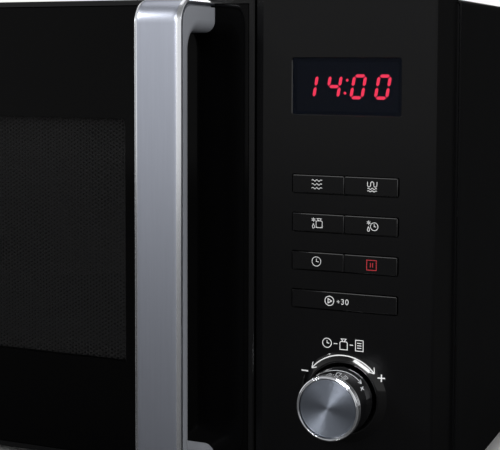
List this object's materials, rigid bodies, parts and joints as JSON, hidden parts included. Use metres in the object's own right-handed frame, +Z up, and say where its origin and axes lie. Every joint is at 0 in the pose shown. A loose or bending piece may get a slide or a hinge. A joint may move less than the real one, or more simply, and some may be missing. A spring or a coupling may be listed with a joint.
{
  "type": "microwave oven",
  "caption": "Countertop microwave oven with a glossy side-hinged door, a full-height metal bar handle, push buttons, a turning knob, a clock display and a glass turntable.",
  "frame": {"origin": "middle of the footprint, on the surface that the feet stand on", "axes": "+X to the user's right, -Y towards the user, +Z up"},
  "size_m": [0.483, 0.4, 0.281],
  "materials": {
    "case_paint": "satin",
    "zinc_steel": "satin",
    "cavity_paint": "satin",
    "steel": "satin",
    "foot_rubber": "matte",
    "dark_plastic": "matte",
    "aluminised_steel": "satin",
    "mica": "matte",
    "copper_core": "satin",
    "winding": "satin",
    "lamp_housing": "matte",
    "circuit_board": "satin",
    "heater_sheath": "satin",
    "panel_black": "satin",
    "button_black": "satin",
    "display_smoke": "gloss",
    "display_white": "matte",
    "knob_chrome": "gloss",
    "knob_aluminium": "brushed",
    "door_black": "gloss",
    "door_glass": "gloss",
    "screen_black": "satin",
    "choke_paint": "satin",
    "clear_pane": "gloss",
    "handle_aluminium": "brushed",
    "handle_grey": "satin",
    "white_plastic": "satin"
  },
  "bodies": {
    "cabinet": {"outer_case": "case_paint", "base_plate": "zinc_steel", "rear_panel": "zinc_steel", "front_frame": "cavity_paint", "feet": "foot_rubber", "case_screws": "steel", "cord_gland": "dark_plastic", "hinge_brackets": "zinc_steel", "cavity_left_wall": "cavity_paint", "cavity_right_wall": "cavity_paint", "cavity_ceiling": "cavity_paint", "cavity_floor": "cavity_paint", "cavity_back_wall": "cavity_paint", "waveguide": "aluminised_steel", "waveguide_cover": "mica", "magnetron_yoke": "zinc_steel", "magnetron_core": "copper_core", "transformer_core": "zinc_steel", "transformer_windings": "winding", "capacitor": "aluminised_steel", "fan_shroud": "dark_plastic", "fan_motor": "zinc_steel", "lamp": "lamp_housing", "filter_board": "circuit_board", "latch_bracket": "dark_plastic", "door_switches": "dark_plastic", "grill_element": "heater_sheath", "turntable_motor": "zinc_steel", "control_panel": "panel_black", "display_lens": "display_smoke", "display_module": "display_white", "control_board": "circuit_board", "encoder": "dark_plastic"},
    "door": {"door_frame": "door_black", "door_glass": "door_glass", "door_screen": "screen_black", "choke_frame": "choke_paint", "inner_cover": "dark_plastic", "inner_pane": "clear_pane", "handle_strap": "handle_aluminium", "handle_liner": "handle_grey", "handle_screws": "steel"},
    "latch": {"latch_hooks": "dark_plastic"},
    "button_micro": {"button_micro": "button_black"},
    "button_combi": {"button_combi": "button_black"},
    "button_defrost_weight": {"button_defrost_weight": "button_black"},
    "button_defrost_time": {"button_defrost_time": "button_black"},
    "button_clock": {"button_clock": "button_black"},
    "button_stop": {"button_stop": "button_black"},
    "button_start": {"button_start": "button_black"},
    "knob": {"knob_body": "knob_chrome", "knob_face": "knob_aluminium", "encoder_shaft": "steel"},
    "turntable": {"turntable_plate": "clear_pane", "coupler": "white_plastic"},
    "roller_ring": {"roller_ring": "dark_plastic"},
    "roller_1": {"roller_1": "white_plastic"},
    "roller_2": {"roller_2": "white_plastic"},
    "roller_3": {"roller_3": "white_plastic"},
    "fan": {"fan_rotor": "dark_plastic"}
  },
  "joints": [
    {"name": "door_hinge", "type": "hinge", "parent": "cabinet", "child": "door", "pos_m": [-0.232, -0.1267, 0.146], "axis": [0, 0, -1], "range_deg": [0, 95]},
    {"name": "latch_slide", "type": "slide", "parent": "door", "child": "latch", "axis": [0, 0, 1], "range_m": [0, 0.004], "stiffness_N_per_m": 900, "springref_m": -0.001},
    {"name": "button_micro_press", "type": "slide", "parent": "cabinet", "child": "button_micro", "axis": [0, 1, 0], "range_m": [0, 0.0008], "stiffness_N_per_m": 1200, "springref_m": -0.0002},
    {"name": "button_combi_press", "type": "slide", "parent": "cabinet", "child": "button_combi", "axis": [0, 1, 0], "range_m": [0, 0.0008], "stiffness_N_per_m": 1200, "springref_m": -0.0002},
    {"name": "button_defrost_weight_press", "type": "slide", "parent": "cabinet", "child": "button_defrost_weight", "axis": [0, 1, 0], "range_m": [0, 0.0008], "stiffness_N_per_m": 1200, "springref_m": -0.0002},
    {"name": "button_defrost_time_press", "type": "slide", "parent": "cabinet", "child": "button_defrost_time", "axis": [0, 1, 0], "range_m": [0, 0.0008], "stiffness_N_per_m": 1200, "springref_m": -0.0002},
    {"name": "button_clock_press", "type": "slide", "parent": "cabinet", "child": "button_clock", "axis": [0, 1, 0], "range_m": [0, 0.0008], "stiffness_N_per_m": 1200, "springref_m": -0.0002},
    {"name": "button_stop_press", "type": "slide", "parent": "cabinet", "child": "button_stop", "axis": [0, 1, 0], "range_m": [0, 0.0008], "stiffness_N_per_m": 1200, "springref_m": -0.0002},
    {"name": "button_start_press", "type": "slide", "parent": "cabinet", "child": "button_start", "axis": [0, 1, 0], "range_m": [0, 0.0008], "stiffness_N_per_m": 1200, "springref_m": -0.0002},
    {"name": "knob_turn", "type": "hinge", "parent": "cabinet", "child": "knob", "pos_m": [0.19, -0.157, 0.0655], "axis": [0, -1, 0], "continuous": true},
    {"name": "turntable_spin", "type": "hinge", "parent": "cabinet", "child": "turntable", "pos_m": [-0.0565, 0.0341, 0.0526], "axis": [0, 0, 1], "continuous": true},
    {"name": "roller_ring_spin", "type": "hinge", "parent": "cabinet", "child": "roller_ring", "pos_m": [-0.0565, 0.0341, 0.0443], "axis": [0, 0, 1], "continuous": true},
    {"name": "roller_1_spin", "type": "hinge", "parent": "roller_ring", "child": "roller_1", "pos_m": [-0.0565, 0.1294, 0.0443], "axis": [0, 1, 0], "continuous": true},
    {"name": "roller_2_spin", "type": "hinge", "parent": "roller_ring", "child": "roller_2", "pos_m": [-0.13903, -0.01355, 0.0443], "axis": [-0.866, -0.5, 0], "continuous": true},
    {"name": "roller_3_spin", "type": "hinge", "parent": "roller_ring", "child": "roller_3", "pos_m": [0.02603, -0.01355, 0.0443], "axis": [0.866, -0.5, 0], "continuous": true},
    {"name": "fan_spin", "type": "hinge", "parent": "cabinet", "child": "fan", "pos_m": [0.17982, 0.1734, 0.156], "axis": [0, 1, 0], "continuous": true}
  ],
  "couplings": [
    {"joint": "roller_ring_spin", "follows": "turntable_spin", "ratio": 0.5},
    {"joint": "roller_1_spin", "follows": "turntable_spin", "ratio": -5.9562},
    {"joint": "roller_2_spin", "follows": "turntable_spin", "ratio": -5.9562},
    {"joint": "roller_3_spin", "follows": "turntable_spin", "ratio": -5.9562}
  ]
}
